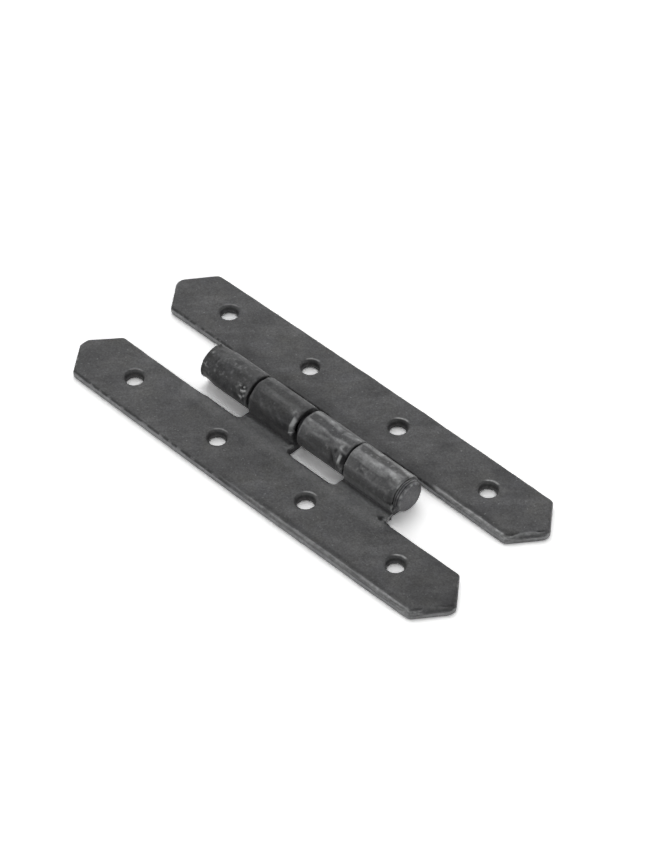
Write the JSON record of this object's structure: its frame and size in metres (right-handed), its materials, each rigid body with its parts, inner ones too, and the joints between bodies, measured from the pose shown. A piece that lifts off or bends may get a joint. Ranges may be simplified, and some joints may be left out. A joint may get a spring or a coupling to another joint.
{
  "type": "h hinge",
  "caption": "Hand-forged H hinge: strip leaves with pointed ends, screw holes, curled knuckles and a headed pin, in blackened waxed steel, laid open and flat.",
  "frame": {"origin": "centre of the overall box at the level of the leaves' undersides, straight below the pin's axis", "axes": "+X along the pin towards its head, +Y from the front leaf to the rear leaf, +Z out of the face that shows when the hinge is screwed on"},
  "size_m": [0.1789, 0.072, 0.014],
  "materials": {
    "forged_leaf": "hammered, blackened and waxed, satin",
    "pin_steel": "blackened and waxed, ends dressed smooth"
  },
  "bodies": {
    "front": {"front_leaf": "forged_leaf"},
    "rear": {"rear_leaf": "forged_leaf", "hinge_pin": "pin_steel"}
  },
  "joints": [
    {"name": "pin_swing", "type": "hinge", "parent": "front", "child": "rear", "pos_m": [0, 0, 0.007], "axis": [1, 0, 0], "range_deg": [-100, 190]}
  ]
}
